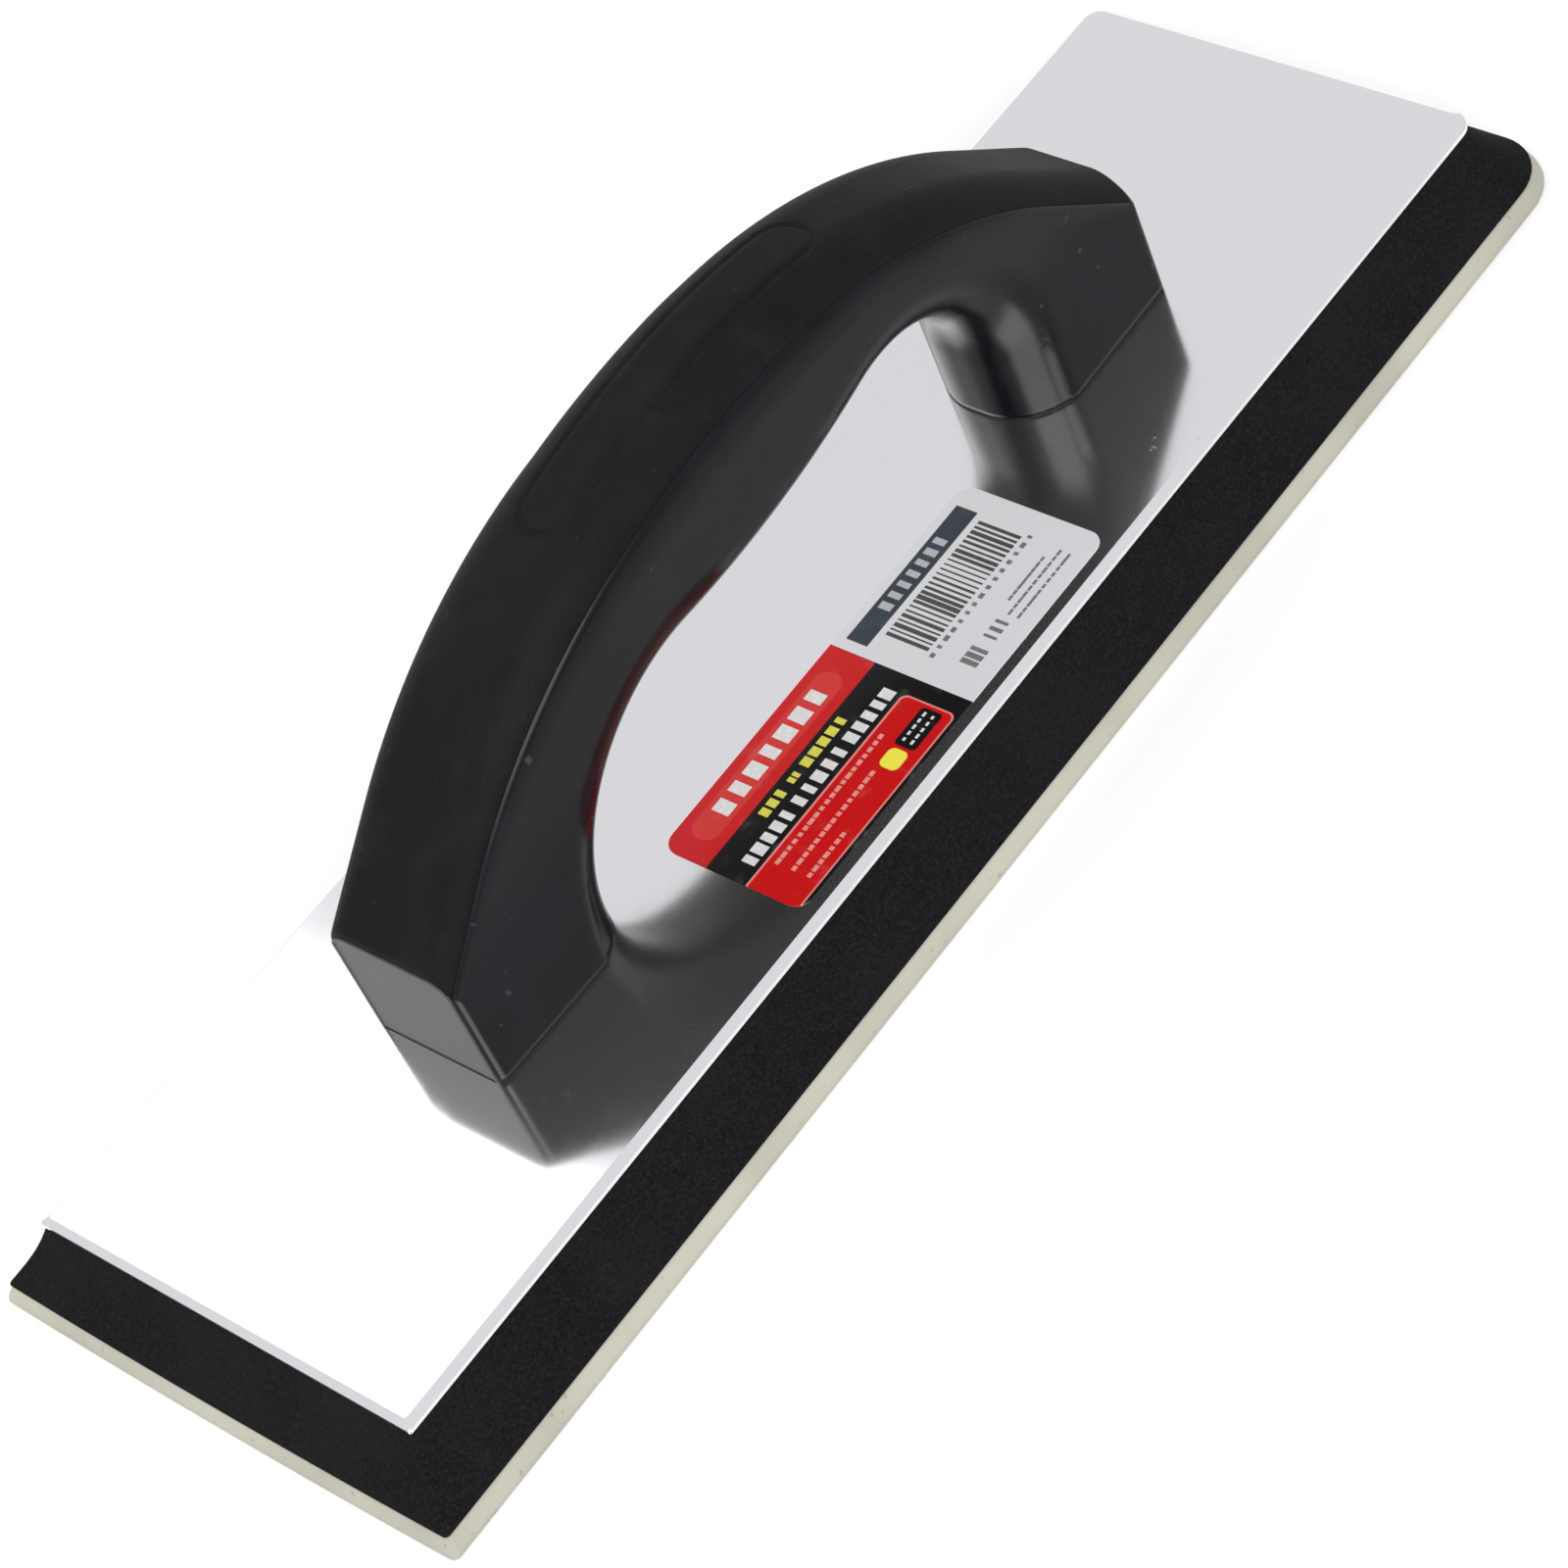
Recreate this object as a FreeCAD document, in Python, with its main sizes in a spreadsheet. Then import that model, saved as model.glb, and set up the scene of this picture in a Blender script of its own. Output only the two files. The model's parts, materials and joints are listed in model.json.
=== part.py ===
import FreeCAD, Part

import math
import os

import Sketcher

# A grout float, in millimetres: a flat rubber face under a foam pad, an aluminium
# backing plate, and an arched handle whose two feet stand on the plate.
# The origin is the centre of the rubber's underside. X runs along the float, Z is up.

doc = FreeCAD.newDocument("GroutFloat")


# ---------------------------------------------------------------- driving dimensions

DIMENSIONS = {
    # rubber face and foam pad; the foam flares out below the plate
    "face_length": 305.0,
    "face_width": 100.0,
    "face_corner": 11.0,
    "rubber_thick": 3.5,
    "rubber_inset": 1.35,
    "foam_thick": 12.2,
    "foam_inset": 9.35,
    # aluminium backing plate
    "plate_thick": 1.8,
    "plate_corner": 4.0,
    "plate_bevel_wide": 1.5,
    "plate_bevel_deep": 0.9,
    # arched handle, seen from the side: crown, haunches and straight ends outside,
    # upright legs, round corners and a shallow belly inside; its +X end is the fuller
    "left_reach": 89.0,
    "right_reach": 90.4,
    "handle_height": 66.2,
    "crown_middle": 2.8,
    "crown_radius": 160.0,
    "haunch_radius": 103.0,
    "end_slope": 42.1,
    "left_shoulder": 25.2,
    "right_shoulder": 25.1,
    "left_leg": 53.8,
    "right_leg": 54.5,
    "left_corner": 31.0,
    "right_corner": 21.8,
    "belly_shift": 12.3,
    "belly_height": 31.1,
    "belly_radius": 163.0,
    # the same handle, seen from above
    "foot_width": 27.2,
    "grip_width": 28.6,
    # rounding of the long edges
    "crown_round": 11.9,
    "left_round": 5.0,
    "right_round": 7.6,
    "inner_round": 12.0,
    "end_round": 1.2,
    # soft cover over the top of the handle
    "cover_depth": 5.8,
    "left_parting": 21.5,
    "right_parting": 19.5,
    # hollow in each foot, screw bosses and screws
    "core_depth": 16.0,
    "core_length": 22.0,
    "core_width": 20.0,
    "core_middle": 74.0,
    "screw_along": 74.0,
    "screw_across": 6.0,
    "boss_size": 9.0,
    "bore_size": 4.3,
    "bore_depth": 18.0,
    "plate_hole": 4.8,
    "shank_size": 4.2,
    "head_size": 7.6,
    "head_angle": 90.0,
    "screw_length": 17.5,
    "recess_length": 4.0,
    "recess_width": 0.9,
    "recess_depth": 1.4,
    # printed label on the plate, beside the handle
    "label_length": 82.0,
    "label_width": 29.5,
    "label_thick": 0.2,
    "label_corner": 3.0,
    "label_along": -0.5,
    "label_across": -22.25,
}

sheet = doc.addObject("Spreadsheet::Sheet", "sheet")
for row, (alias, value) in enumerate(DIMENSIONS.items(), start=1):
    sheet.set(f"A{row}", alias.replace("_", " "))
    sheet.set(f"B{row}", str(value))
    sheet.setAlias(f"B{row}", alias)
doc.recompute()


def size(alias):
    """Value of one cell of the sheet."""
    return float(getattr(sheet, alias))


# Heights of the layers, as expressions and as numbers for the first sketch positions.
FOAM_BASE = "sheet.rubber_thick"
PLATE_BASE = "sheet.rubber_thick + sheet.foam_thick"
PLATE_TOP = "sheet.rubber_thick + sheet.foam_thick + sheet.plate_thick"
plate_top = size("rubber_thick") + size("foam_thick") + size("plate_thick")


# ------------------------------------------------------------------------- helpers

SKETCH_X_AXIS = -1
SKETCH_Y_AXIS = -2
START = 1
END = 2
CENTRE = 3
FIRST_TURN = math.radians(8)


def vector(x, y, z=0.0):
    return FreeCAD.Vector(x, y, z)


def new_body(name):
    body = doc.addObject("PartDesign::Body", name)
    body.Label = name
    return body


def new_sketch(body, name, role, height, axis):
    """Sketch on one of the body's origin planes, lifted by an expression along axis."""
    sketch = body.newObject("Sketcher::SketchObject", name)
    plane = next(item for item in body.Origin.OriginFeatures if item.Role == role)
    sketch.AttachmentSupport = [(plane, "")]
    sketch.MapMode = "FlatFace"
    sketch.setExpression(f"AttachmentOffset.Base.{axis}", height)
    return sketch


def line(sketch, start, end):
    return sketch.addGeometry(Part.LineSegment(vector(*start), vector(*end)))


def arc(sketch, centre, radius, first, last):
    """Counter-clockwise arc between two angles in degrees."""
    circle = Part.Circle(vector(*centre), vector(0, 0, 1), radius)
    return sketch.addGeometry(Part.ArcOfCircle(circle, math.radians(first), math.radians(last)))


def constrain(sketch, kind, *values):
    return sketch.addConstraint(Sketcher.Constraint(kind, *values))


def measure(sketch, kind, values, start_value, expression):
    """Dimension driven by the sheet. start_value is only its first value."""
    index = constrain(sketch, kind, *values, start_value)
    sketch.setExpression(f"Constraints[{index}]", expression)


def locate(sketch, point, kind, value, expression):
    """Distance of a point from the sketch's origin along one axis, kept positive."""
    origin = (SKETCH_X_AXIS, START)
    ends = point + origin if value < 0 else origin + point
    measure(sketch, kind, ends, abs(value), expression)


def pad_up(body, name, sketch, length):
    pad = body.newObject("PartDesign::Pad", name)
    pad.Profile = sketch
    pad.setExpression("Length", length)
    sketch.Visibility = False
    return pad


def outline_sketch(body, name, height, inset, corner):
    """The face's outline drawn in by the inset: square corners at -X, round ones at +X."""
    half_long = size("face_length") / 2 - (size(inset) if inset else 0)
    half_wide = size("face_width") / 2 - (size(inset) if inset else 0)
    bend = size(corner)
    less = f" - 2 * sheet.{inset}" if inset else ""
    sketch = new_sketch(body, name, "XY_Plane", height, "z")
    near = line(sketch, (-half_long, half_wide), (-half_long, -half_wide))
    side = line(sketch, (-half_long, -half_wide), (half_long - bend, -half_wide))
    turn = arc(sketch, (half_long - bend, bend - half_wide), bend, -90, 0)
    far = line(sketch, (half_long, bend - half_wide), (half_long, half_wide - bend))
    far_turn = arc(sketch, (half_long - bend, half_wide - bend), bend, 0, 90)
    far_side = line(sketch, (half_long - bend, half_wide), (-half_long, half_wide))
    constrain(sketch, "Coincident", near, END, side, START)
    constrain(sketch, "Coincident", far_side, END, near, START)
    for first, second in ((side, turn), (turn, far), (far, far_turn), (far_turn, far_side)):
        constrain(sketch, "Tangent", first, END, second, START)
    for level in (side, far_side):
        constrain(sketch, "Horizontal", level)
    constrain(sketch, "Vertical", far)
    constrain(sketch, "Equal", turn, far_turn)
    constrain(sketch, "Symmetric", near, START, near, END, SKETCH_X_AXIS)
    measure(sketch, "DistanceX", (near, END, SKETCH_X_AXIS, START), half_long,
            f"(sheet.face_length{less}) / 2")
    measure(sketch, "DistanceX", (near, END, far, START), 2 * half_long, f"sheet.face_length{less}")
    measure(sketch, "DistanceY", (near, END, near, START), 2 * half_wide, f"sheet.face_width{less}")
    measure(sketch, "Radius", (turn,), bend, f"sheet.{corner}")
    return sketch


# -------------------------------------------------------- rubber face and foam pad

def flared_layer(name, base_height, top_height, base, top):
    """Layer between two outlines, each an inset and a corner radius from the sheet."""
    body = new_body(name)
    lower = outline_sketch(body, name + "_base", base_height, *base)
    upper = outline_sketch(body, name + "_top", top_height, *top)
    loft = body.newObject("PartDesign::AdditiveLoft", name + "_loft")
    loft.Profile = lower
    loft.Sections = [upper]
    loft.Ruled = True
    return body


rubber_face = flared_layer("rubber_face", "0", FOAM_BASE, (None, "face_corner"),
                           ("rubber_inset", "face_corner"))
foam_pad = flared_layer("foam_pad", FOAM_BASE, PLATE_BASE, ("rubber_inset", "face_corner"),
                        ("foam_inset", "plate_corner"))


# ------------------------------------------------------------------- backing plate

backing_plate = new_body("backing_plate")
plate_outline = outline_sketch(backing_plate, "plate_outline", PLATE_BASE, "foam_inset", "plate_corner")
plate_pad = pad_up(backing_plate, "plate_pad", plate_outline, "sheet.plate_thick")
doc.recompute()

top_face = max(range(len(plate_pad.Shape.Faces)), key=lambda i: plate_pad.Shape.Faces[i].CenterOfMass.z)
plate_bevel = backing_plate.newObject("PartDesign::Chamfer", "plate_bevel")
plate_bevel.Base = (plate_pad, [f"Face{top_face + 1}"])
plate_bevel.ChamferType = "Two distances"
plate_bevel.setExpression("Size", "sheet.plate_bevel_wide")
plate_bevel.setExpression("Size2", "sheet.plate_bevel_deep")
doc.recompute()

# Countersunk screw holes, entered from the plate's underside.
hole_points = new_sketch(backing_plate, "hole_points", "XY_Plane", PLATE_BASE, "z")
for side_x in (-1, 1):
    for side_y in (-1, 1):
        spot = vector(side_x * size("screw_along"), side_y * size("screw_across"))
        ring = hole_points.addGeometry(Part.Circle(spot, vector(0, 0, 1), size("plate_hole") / 2))
        measure(hole_points, "Diameter", (ring,), size("plate_hole"), "sheet.plate_hole")
        locate(hole_points, (ring, CENTRE), "DistanceX", spot.x, "sheet.screw_along")
        locate(hole_points, (ring, CENTRE), "DistanceY", spot.y, "sheet.screw_across")
screw_holes = backing_plate.newObject("PartDesign::Hole", "screw_holes")
screw_holes.Profile = hole_points
doc.recompute()
screw_holes.Reversed = True
screw_holes.DepthType = "ThroughAll"
screw_holes.ThreadType = "None"
screw_holes.setExpression("Diameter", "sheet.plate_hole")
screw_holes.HoleCutType = "Countersink"
screw_holes.HoleCutCustomValues = True
screw_holes.setExpression("HoleCutDiameter", "sheet.head_size + 0.2")
screw_holes.setExpression("HoleCutCountersinkAngle", "sheet.head_angle")
doc.recompute()


# ------------------------------------------------------------------ handle outline

def haunch_start(side, depth):
    """First centre and outer end of one haunch, on the right (1) or the left (-1)."""
    slope = math.radians(size("end_slope"))
    offset = (size("crown_radius") - size("haunch_radius")) * FIRST_TURN
    centre_x = size("crown_middle") + side * offset
    centre_z = size("handle_height") - size("haunch_radius") - offset * FIRST_TURN / 2
    radius = size("haunch_radius") - depth
    end = (centre_x + side * radius * math.sin(slope), centre_z + radius * math.cos(slope))
    return (centre_x, centre_z), end


def add_arch(sketch, depth, left_tip, right_tip):
    """Chain slant, haunch, crown, haunch, slant, whose two tips have heights from the sheet.

    The crown and haunches are drawn in from the handle's outline by the depth.
    Returns the two slants. The right one starts, and the left one ends, at its tip.
    """
    deep = size(depth) if depth else 0.0
    less = f" - sheet.{depth}" if depth else ""
    slope = size("end_slope")
    turn = math.degrees(FIRST_TURN)
    right_centre, right_end = haunch_start(1, deep)
    left_centre, left_end = haunch_start(-1, deep)
    crown_z = size("handle_height") - size("crown_radius")
    right_point = (size("right_reach"), size(right_tip))
    left_point = (-size("left_reach"), size(left_tip))

    slant = line(sketch, right_point, right_end)
    haunch = arc(sketch, right_centre, size("haunch_radius") - deep, 90 - slope, 90 - turn)
    crown = arc(sketch, (size("crown_middle"), crown_z), size("crown_radius") - deep, 90 - turn, 90 + turn)
    left_haunch = arc(sketch, left_centre, size("haunch_radius") - deep, 90 + turn, 90 + slope)
    left_slant = line(sketch, left_end, left_point)
    chain = (slant, haunch, crown, left_haunch, left_slant)
    for first, second in zip(chain, chain[1:]):
        constrain(sketch, "Tangent", first, END, second, START)
    constrain(sketch, "Equal", haunch, left_haunch)
    measure(sketch, "Radius", (crown,), size("crown_radius") - deep, f"sheet.crown_radius{less}")
    measure(sketch, "Radius", (haunch,), size("haunch_radius") - deep, f"sheet.haunch_radius{less}")
    measure(sketch, "Angle", (slant,), math.radians(180 - slope), "180 deg - sheet.end_slope * 1 deg")
    measure(sketch, "Angle", (left_slant,), math.radians(180 + slope), "180 deg + sheet.end_slope * 1 deg")
    locate(sketch, (crown, CENTRE), "DistanceX", size("crown_middle"), "sheet.crown_middle")
    locate(sketch, (crown, CENTRE), "DistanceY", crown_z, "sheet.crown_radius - sheet.handle_height")
    locate(sketch, (slant, START), "DistanceX", right_point[0], "sheet.right_reach")
    locate(sketch, (slant, START), "DistanceY", right_point[1], f"sheet.{right_tip}")
    locate(sketch, (left_slant, END), "DistanceX", left_point[0], "sheet.left_reach")
    locate(sketch, (left_slant, END), "DistanceY", left_point[1], f"sheet.{left_tip}")
    return slant, left_slant


def side_profile(body, name):
    """Closed arch in the XZ plane: feet, ends and crown outside, legs and belly inside."""
    belly_x, belly_z = -size("belly_shift"), size("belly_height") + size("belly_radius")
    corners = []
    for side, words in ((1, "right"), (-1, "left")):
        radius = size(f"{words}_corner")
        centre_x = side * (size(f"{words}_leg") - radius)
        centre_z = belly_z - math.sqrt((radius + size("belly_radius")) ** 2 - (centre_x - belly_x) ** 2)
        lean = math.degrees(math.atan2(belly_z - centre_z, abs(centre_x - belly_x)))
        corners.append((radius, (centre_x, centre_z), lean))
    (right_radius, right_centre, right_lean), (left_radius, left_centre, left_lean) = corners
    right_x, left_x = size("right_reach"), -size("left_reach")
    right_leg, left_leg = size("right_leg"), -size("left_leg")

    sketch = new_sketch(body, name, "XZ_Plane", PLATE_TOP, "y")
    slant, left_slant = add_arch(sketch, None, "left_shoulder", "right_shoulder")
    foot = line(sketch, (right_leg, 0), (right_x, 0))
    end = line(sketch, (right_x, 0), (right_x, size("right_shoulder")))
    left_end = line(sketch, (left_x, size("left_shoulder")), (left_x, 0))
    left_foot = line(sketch, (left_x, 0), (left_leg, 0))
    left_inside = line(sketch, (left_leg, 0), (left_leg, left_centre[1]))
    left_corner = arc(sketch, left_centre, left_radius, left_lean, 180)
    belly = arc(sketch, (belly_x, belly_z), size("belly_radius"), 180 + left_lean, 360 - right_lean)
    corner = arc(sketch, right_centre, right_radius, 0, 180 - right_lean)
    inside = line(sketch, (right_leg, right_centre[1]), (right_leg, 0))

    for first, second in ((foot, end), (end, slant), (left_slant, left_end), (left_end, left_foot),
                          (left_foot, left_inside), (inside, foot)):
        constrain(sketch, "Coincident", first, END, second, START)
    constrain(sketch, "Tangent", left_inside, END, left_corner, END)
    constrain(sketch, "Tangent", left_corner, START, belly, START)
    constrain(sketch, "Tangent", belly, END, corner, END)
    constrain(sketch, "Tangent", corner, START, inside, START)
    for upright in (end, left_end, inside, left_inside):
        constrain(sketch, "Vertical", upright)
    for sole in (foot, left_foot):
        constrain(sketch, "Horizontal", sole)
        constrain(sketch, "PointOnObject", sole, START, SKETCH_X_AXIS)
    locate(sketch, (foot, START), "DistanceX", right_leg, "sheet.right_leg")
    locate(sketch, (left_foot, END), "DistanceX", left_leg, "sheet.left_leg")
    measure(sketch, "Radius", (corner,), right_radius, "sheet.right_corner")
    measure(sketch, "Radius", (left_corner,), left_radius, "sheet.left_corner")
    measure(sketch, "Radius", (belly,), size("belly_radius"), "sheet.belly_radius")
    locate(sketch, (belly, CENTRE), "DistanceX", belly_x, "sheet.belly_shift")
    locate(sketch, (belly, CENTRE), "DistanceY", belly_z, "sheet.belly_height + sheet.belly_radius")
    return sketch


side_blank = new_body("side_blank")
side_sketch = side_profile(side_blank, "side_sketch")
side_pad = pad_up(side_blank, "side_pad", side_sketch, "sheet.grip_width + 10")
side_pad.SideType = "Symmetric"
doc.recompute()


def plan_profile(body, name):
    """Outline of the handle from above: two gently bulged sides and straight ends."""
    half_long = (size("left_reach") + size("right_reach")) / 2
    middle = size("right_reach") - half_long
    foot, grip = size("foot_width") / 2, size("grip_width") / 2
    bulge = grip - foot
    radius = (half_long ** 2 + bulge ** 2) / (2 * bulge)
    sweep = math.degrees(math.asin(half_long / radius))
    sketch = new_sketch(body, name, "XY_Plane", PLATE_TOP, "z")
    front = arc(sketch, (middle, radius - grip), radius, 270 - sweep, 270 + sweep)
    right = line(sketch, (size("right_reach"), -foot), (size("right_reach"), foot))
    back = arc(sketch, (middle, grip - radius), radius, 90 - sweep, 90 + sweep)
    left = line(sketch, (-size("left_reach"), foot), (-size("left_reach"), -foot))
    for first, second in ((front, right), (right, back), (back, left), (left, front)):
        constrain(sketch, "Coincident", first, END, second, START)
    for crossing in (right, left):
        constrain(sketch, "Symmetric", crossing, START, crossing, END, SKETCH_X_AXIS)
    constrain(sketch, "Equal", right, left)
    constrain(sketch, "Equal", front, back)
    locate(sketch, (right, START), "DistanceX", size("right_reach"), "sheet.right_reach")
    locate(sketch, (left, START), "DistanceX", -size("left_reach"), "sheet.left_reach")
    measure(sketch, "DistanceY", (right, START, right, END), 2 * foot, "sheet.foot_width")
    measure(sketch, "Radius", (front,), radius,
            "(((sheet.left_reach + sheet.right_reach) / 2) ^ 2"
            " + ((sheet.grip_width - sheet.foot_width) / 2) ^ 2) / (sheet.grip_width - sheet.foot_width)")
    return sketch


plan_blank = new_body("plan_blank")
plan_sketch = plan_profile(plan_blank, "plan_sketch")
plan_pad = pad_up(plan_blank, "plan_pad", plan_sketch, "sheet.handle_height + 10")
doc.recompute()

handle_blank = doc.addObject("Part::Common", "handle_blank")
handle_blank.Base = side_blank
handle_blank.Tool = plan_blank
doc.recompute()


# ------------------------------------------------------- rounding of the long edges

def blend(value, low, high, first, last):
    """Value from first to last as the distance goes from low to high."""
    share = min(max((value - low) / (high - low), 0), 1)
    return first + share * (last - first)


def outer_round(point):
    side = "left" if point.x < 0 else "right"
    return blend(abs(point.x), 20, size("left_reach"), size("crown_round"), size(f"{side}_round"))


handle_form = doc.addObject("Part::Fillet", "handle_form")
handle_form.Base = handle_blank
rounds = []
inner_top = plate_top + size("belly_height") + 8
for number, edge in enumerate(handle_blank.Shape.Edges, start=1):
    middle = edge.valueAt((edge.FirstParameter + edge.LastParameter) / 2)
    ends = [edge.valueAt(edge.FirstParameter), edge.valueAt(edge.LastParameter)]
    lengthwise = abs(middle.y) > size("foot_width") / 4 and middle.z > plate_top + 0.1
    if not lengthwise:
        continue
    if min(-size("left_reach") - ends[0].x, ends[0].x - size("right_reach"), key=abs) > -0.1 \
            and abs(ends[0].x - ends[-1].x) < 0.1:
        rounds.append((number, size("end_round"), size("end_round")))
        continue
    inner = -size("left_leg") - 0.1 < middle.x < size("right_leg") + 0.1 and middle.z < inner_top
    if inner:
        rounds.append((number, size("inner_round"), size("inner_round")))
        continue
    if middle.y > 0:
        ends.reverse()
    rounds.append((number, outer_round(ends[0]), outer_round(ends[1])))
handle_form.Edges = rounds
doc.recompute()


# ------------------------------------------------------- soft cover over the handle

def cover_profile(body, name):
    """Region above the parting line, which runs below the outline from end to end."""
    lid = size("handle_height") + size("cover_depth")
    right_tip = (size("right_reach"), size("right_parting"))
    left_tip = (-size("left_reach"), size("left_parting"))
    sketch = new_sketch(body, name, "XZ_Plane", PLATE_TOP, "y")
    slant, left_slant = add_arch(sketch, "cover_depth", "left_parting", "right_parting")
    left_end = line(sketch, left_tip, (left_tip[0], lid))
    top = line(sketch, (left_tip[0], lid), (right_tip[0], lid))
    end = line(sketch, (right_tip[0], lid), right_tip)
    for first, second in ((left_slant, left_end), (left_end, top), (top, end), (end, slant)):
        constrain(sketch, "Coincident", first, END, second, START)
    for upright in (end, left_end):
        constrain(sketch, "Vertical", upright)
    constrain(sketch, "Horizontal", top)
    locate(sketch, (top, START), "DistanceY", lid, "sheet.handle_height + sheet.cover_depth")
    return sketch


cover_zone = new_body("cover_zone")
cover_sketch = cover_profile(cover_zone, "cover_sketch")
cover_pad = pad_up(cover_zone, "cover_pad", cover_sketch, "sheet.grip_width + 10")
cover_pad.SideType = "Symmetric"

grip_cover = doc.addObject("Part::Common", "grip_cover")
grip_cover.Base = handle_form
grip_cover.Tool = cover_zone


# -------------------------------------------------- hard body with its hollow feet

def placed(kind, name, sizes, place):
    """Part primitive with sizes and position bound to the sheet."""
    item = doc.addObject(kind, name)
    for prop, expression in sizes.items():
        item.setExpression(prop, expression)
    for axis, expression in place.items():
        item.setExpression(f"Placement.Base.{axis}", expression)
    return item


hollows = []
for side_name, side in (("left", "-1"), ("right", "1")):
    core = placed("Part::Box", f"{side_name}_core",
                  {"Length": "sheet.core_length", "Width": "sheet.core_width",
                   "Height": "sheet.core_depth"},
                  {"x": f"{side} * sheet.core_middle - sheet.core_length / 2", "y": "-sheet.core_width / 2",
                   "z": PLATE_TOP})
    bosses = []
    for row_name, row in (("front", "-1"), ("back", "1")):
        spot = {"x": f"{side} * sheet.screw_along", "y": f"{row} * sheet.screw_across", "z": PLATE_TOP}
        bosses.append(placed("Part::Cylinder", f"{side_name}_{row_name}_boss",
                             {"Radius": "sheet.boss_size / 2", "Height": "sheet.core_depth"}, spot))
        hollows.append(placed("Part::Cylinder", f"{side_name}_{row_name}_bore",
                              {"Radius": "sheet.bore_size / 2", "Height": "sheet.bore_depth"}, spot))
    pair = doc.addObject("Part::MultiFuse", f"{side_name}_bosses")
    pair.Shapes = bosses
    hollow = doc.addObject("Part::Cut", f"{side_name}_hollow")
    hollow.Base = core
    hollow.Tool = pair
    hollows.append(hollow)

hard_blank = doc.addObject("Part::Cut", "hard_blank")
hard_blank.Base = handle_form
hard_blank.Tool = cover_zone
foot_hollows = doc.addObject("Part::Compound", "foot_hollows")
foot_hollows.Links = hollows
handle_body = doc.addObject("Part::Cut", "handle_body")
handle_body.Base = hard_blank
handle_body.Tool = foot_hollows
doc.recompute()


# -------------------------------------------------------------------------- screws

def screw_sketch(body, name):
    """Half section of a countersunk screw standing head down on the XZ plane."""
    head = size("head_size") / 2
    shank = size("shank_size") / 2
    cone = (head - shank) / math.tan(math.radians(size("head_angle") / 2))
    length = size("screw_length")
    sketch = new_sketch(body, name, "XZ_Plane", PLATE_BASE, "y")
    points = [(0, 0), (head, 0), (shank, cone), (shank, length - shank), (0, length)]
    sides = [line(sketch, points[i], points[(i + 1) % len(points)]) for i in range(len(points))]
    for i in range(len(sides)):
        constrain(sketch, "Coincident", sides[i], END, sides[(i + 1) % len(sides)], START)
    face, cone_side, shank_side, tip, axis = sides
    constrain(sketch, "Coincident", face, START, SKETCH_X_AXIS, START)
    constrain(sketch, "Horizontal", face)
    constrain(sketch, "Vertical", shank_side)
    constrain(sketch, "Vertical", axis)
    measure(sketch, "DistanceX", (face, START, face, END), head, "sheet.head_size / 2")
    measure(sketch, "DistanceX", (face, START, shank_side, START), shank, "sheet.shank_size / 2")
    measure(sketch, "DistanceY", (cone_side, START, cone_side, END), cone,
            "(sheet.head_size - sheet.shank_size) / 2 / tan(sheet.head_angle / 2 * 1 deg)")
    measure(sketch, "DistanceY", (face, START, tip, END), length, "sheet.screw_length")
    measure(sketch, "DistanceY", (tip, START, tip, END), shank, "sheet.shank_size / 2")
    return sketch


screw_body = new_body("screw_body")
screw_profile = screw_sketch(screw_body, "screw_profile")
screw_turn = screw_body.newObject("PartDesign::Revolution", "screw_turn")
screw_turn.Profile = screw_profile
screw_turn.ReferenceAxis = (screw_profile, ["V_Axis"])
screw_turn.Angle = 360
screw_body.setExpression("Placement.Base.x", "sheet.screw_along")
screw_body.setExpression("Placement.Base.y", "sheet.screw_across")

slots = []
for slot_name, along, across in (("long_slot", "recess_length", "recess_width"),
                                 ("cross_slot", "recess_width", "recess_length")):
    slots.append(placed("Part::Box", slot_name,
                        {"Length": f"sheet.{along}", "Width": f"sheet.{across}",
                         "Height": "sheet.recess_depth"},
                        {"x": f"sheet.screw_along - sheet.{along} / 2",
                         "y": f"sheet.screw_across - sheet.{across} / 2", "z": PLATE_BASE}))
recess = doc.addObject("Part::MultiFuse", "recess")
recess.Shapes = slots
screw = doc.addObject("Part::Cut", "screw")
screw.Base = screw_body
screw.Tool = recess


def mirrored(source, name, normal):
    copy = doc.addObject("Part::Mirroring", name)
    copy.Source = source
    copy.Normal = normal
    return copy


right_pair = doc.addObject("Part::Compound", "right_pair")
right_pair.Links = [screw, mirrored(screw, "front_screw", vector(0, 1))]
handle_screws = doc.addObject("Part::Compound", "handle_screws")
handle_screws.Links = [right_pair, mirrored(right_pair, "left_pair", vector(1, 0))]


# --------------------------------------------------------------------------- label

label_box = placed("Part::Box", "label_box",
                   {"Length": "sheet.label_length", "Width": "sheet.label_width",
                    "Height": "sheet.label_thick"},
                   {"x": "sheet.label_along - sheet.label_length / 2",
                    "y": "sheet.label_across - sheet.label_width / 2", "z": PLATE_TOP})
doc.recompute()
upright = [number for number, edge in enumerate(label_box.Shape.Edges, start=1)
           if abs(edge.tangentAt(edge.FirstParameter).z) > 0.9]
product_label = doc.addObject("Part::Fillet", "product_label")
product_label.Base = label_box
product_label.Edges = [(number, size("label_corner"), size("label_corner")) for number in upright]
doc.recompute()


# ------------------------------------------------------------- checks and export

nodes = [rubber_face, foam_pad, backing_plate, handle_body, grip_cover, handle_screws, product_label]
for item in doc.Objects:
    bad = [word for word in item.State if word in ("Invalid", "Error")]
    if bad:
        raise RuntimeError(f"{item.Label} is {bad}")
    if item.TypeId == "Sketcher::SketchObject" and not item.FullyConstrained:
        raise RuntimeError(f"{item.Label} is not fully constrained")

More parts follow.
